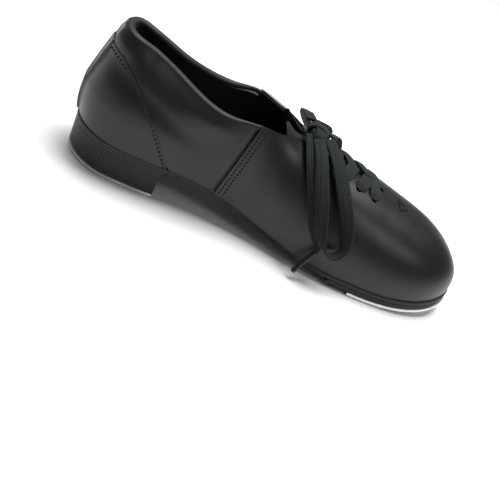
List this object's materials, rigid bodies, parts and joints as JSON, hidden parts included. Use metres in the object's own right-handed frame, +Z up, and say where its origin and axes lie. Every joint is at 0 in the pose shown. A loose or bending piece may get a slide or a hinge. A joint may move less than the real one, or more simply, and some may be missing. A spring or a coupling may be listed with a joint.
{
  "type": "tap shoe",
  "caption": "Low leather tap shoe, left foot: split laced vamp with a bow, padded collar, stacked heel, and screwed metal heel and toe taps.",
  "frame": {"origin": "middle of the shoe's box on the floor, with the bow left out", "axes": "+X toward the toe, +Y toward the outer side of the foot, +Z up from the floor"},
  "size_m": [0.2752, 0.1202, 0.087],
  "materials": {
    "leather": "satin",
    "lining_fabric": "matte",
    "foam": "matte",
    "stiffener_board": "matte",
    "insole_fibre": "matte",
    "sole_rubber": "matte",
    "heel_stack": "matte",
    "tap_alloy": "satin",
    "steel": "satin",
    "lace_cotton": "matte",
    "aglet_plastic": "gloss"
  },
  "bodies": {
    "rear_shoe": {"vamp": "leather", "quarter_inner": "leather", "quarter_outer": "leather", "back_panel": "leather", "topline_binding": "leather", "collar_padding": "foam", "quarter_lining": "lining_fabric", "heel_counter": "stiffener_board", "vamp_lining": "lining_fabric", "eyelet_backing": "lining_fabric", "tongue": "lining_fabric", "sock_liner": "lining_fabric", "insole_board": "insole_fibre", "bottom_filler": "insole_fibre", "shank": "steel", "outsole": "sole_rubber", "heel_block": "heel_stack", "heel_lift": "heel_stack", "heel_tap": "tap_alloy", "heel_tap_screws": "steel", "heel_nails": "steel", "lacing": "lace_cotton", "lace_knot": "lace_cotton", "lace_loop_inner": "lace_cotton", "lace_loop_outer": "lace_cotton", "lace_end_inner": "lace_cotton", "lace_end_outer": "lace_cotton", "aglet_inner": "aglet_plastic", "aglet_outer": "aglet_plastic"},
    "forefoot": {"toe_board": "sole_rubber", "toe_tap": "tap_alloy", "toe_tap_screws": "steel", "toe_puff": "stiffener_board"}
  },
  "joints": [
    {"name": "forefoot_flex", "type": "hinge", "parent": "rear_shoe", "child": "forefoot", "pos_m": [0.04585, 0, 0.0052], "axis": [0, -1, 0], "range_deg": [0, 20], "stiffness_Nm_per_rad": 6, "deforming": ["outsole", "vamp", "vamp_lining", "insole_board", "sock_liner", "bottom_filler", "eyelet_backing", "tongue"]}
  ]
}
